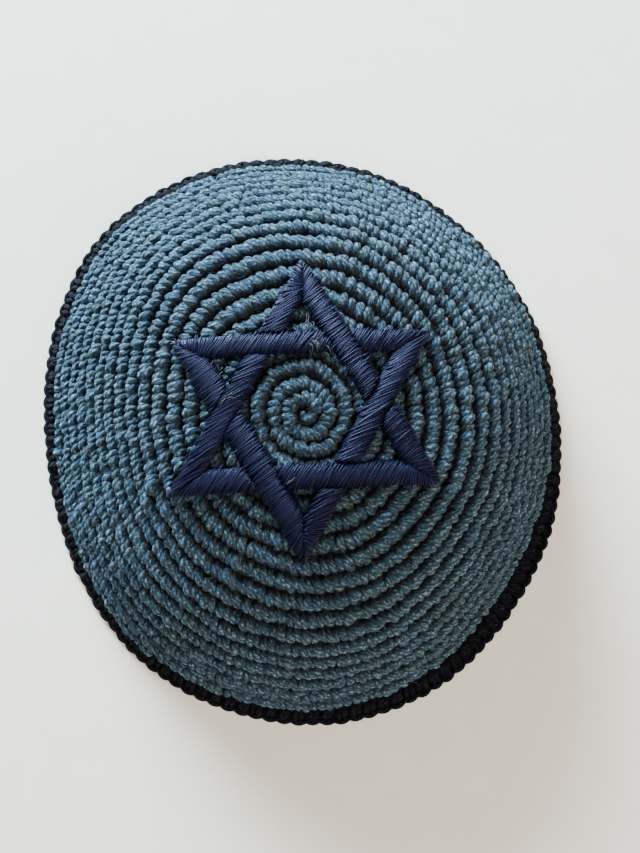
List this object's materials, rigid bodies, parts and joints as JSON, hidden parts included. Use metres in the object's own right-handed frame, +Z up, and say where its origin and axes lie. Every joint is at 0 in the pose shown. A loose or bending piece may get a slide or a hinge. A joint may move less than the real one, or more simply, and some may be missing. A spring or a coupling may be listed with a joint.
{
  "type": "kippah skullcap",
  "caption": "Round crocheted skullcap with a dark edge and a six-pointed star sewn on its crown. It sits on the top of the head.",
  "frame": {"origin": "centre of the brim's outline on the surface that the cap stands on", "axes": "+Z up through the crown, +Y along the cap's longer way towards the upper point of the star, +X to its right"},
  "size_m": [0.162, 0.178, 0.0519],
  "materials": {
    "yarn": "matte twisted cotton yarn, heather slate teal",
    "edge_yarn": "matte twisted cotton yarn, navy black",
    "star_thread": "satin embroidery thread, indigo"
  },
  "bodies": {
    "root": {"crown": "yarn", "edge_round": "edge_yarn", "star_band_1": "star_thread", "star_tip_1": "star_thread", "star_band_2": "star_thread", "star_tip_2": "star_thread", "star_band_3": "star_thread", "star_tip_3": "star_thread", "star_band_4": "star_thread", "star_tip_4": "star_thread", "star_band_5": "star_thread", "star_tip_5": "star_thread", "star_band_6": "star_thread", "star_tip_6": "star_thread"}
  },
  "joints": []
}
